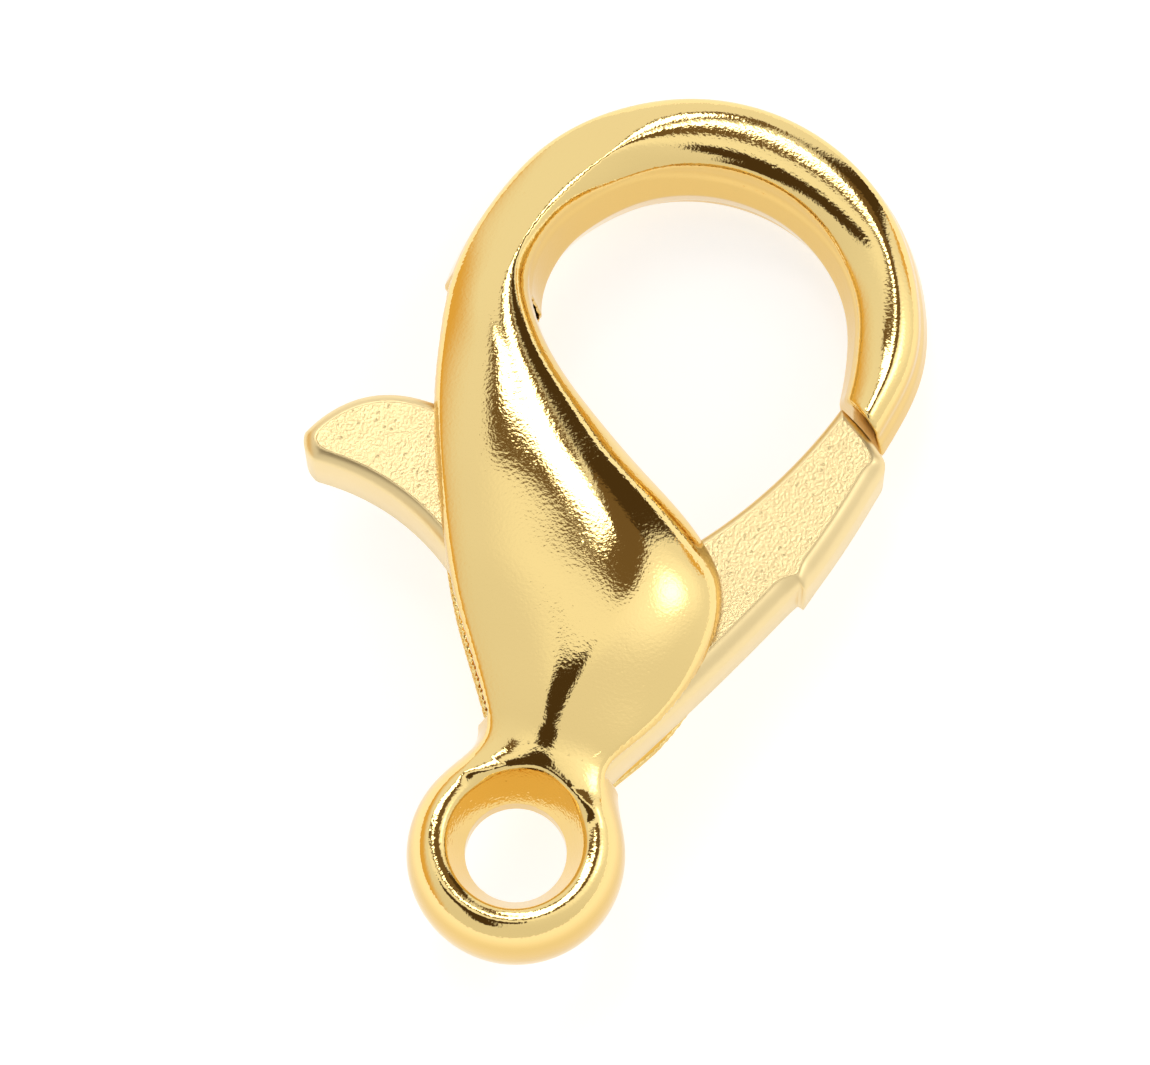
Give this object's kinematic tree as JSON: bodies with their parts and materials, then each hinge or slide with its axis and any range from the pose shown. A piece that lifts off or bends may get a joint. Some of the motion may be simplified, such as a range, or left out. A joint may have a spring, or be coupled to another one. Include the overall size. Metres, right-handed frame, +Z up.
{
  "type": "lobster clasp",
  "caption": "Lobster clasp with a teardrop body, a round hook that is closed by a sprung thumb lever, and an eye for a jump ring.",
  "frame": {"origin": "centre of the box's base, on the surface that the clasp lies on", "axes": "+Y along the clasp from its eye to its hook, +X to the gate, and +Z up from the surface. The clasp lies by itself: its hook end dips 5.5 degrees and its gate side 4.1 degrees."},
  "size_m": [0.0086, 0.0139, 0.0033],
  "materials": {
    "gold_casting": "mirror polished pale gold plating on a zinc alloy casting",
    "gold_lever": "gold plating, with fine sandy faces and polished rims",
    "gold_pin": "steel pin, gold plated over its two ends",
    "spring_steel": "bright spring steel"
  },
  "bodies": {
    "body": {"claw_body": "gold_casting", "pivot_pin": "gold_pin", "lever_spring": "spring_steel"},
    "lever": {"trigger_lever": "gold_lever"}
  },
  "joints": [
    {"name": "lever_pivot", "type": "hinge", "parent": "body", "child": "lever", "pos_m": [0.00133, -0.00367, 0.0019], "axis": [0.0715, 0.0956, 0.9928], "range_deg": [0, 24], "stiffness_Nm_per_rad": 0.01, "springref_deg": -28.65, "deforming": ["lever_spring"]}
  ]
}
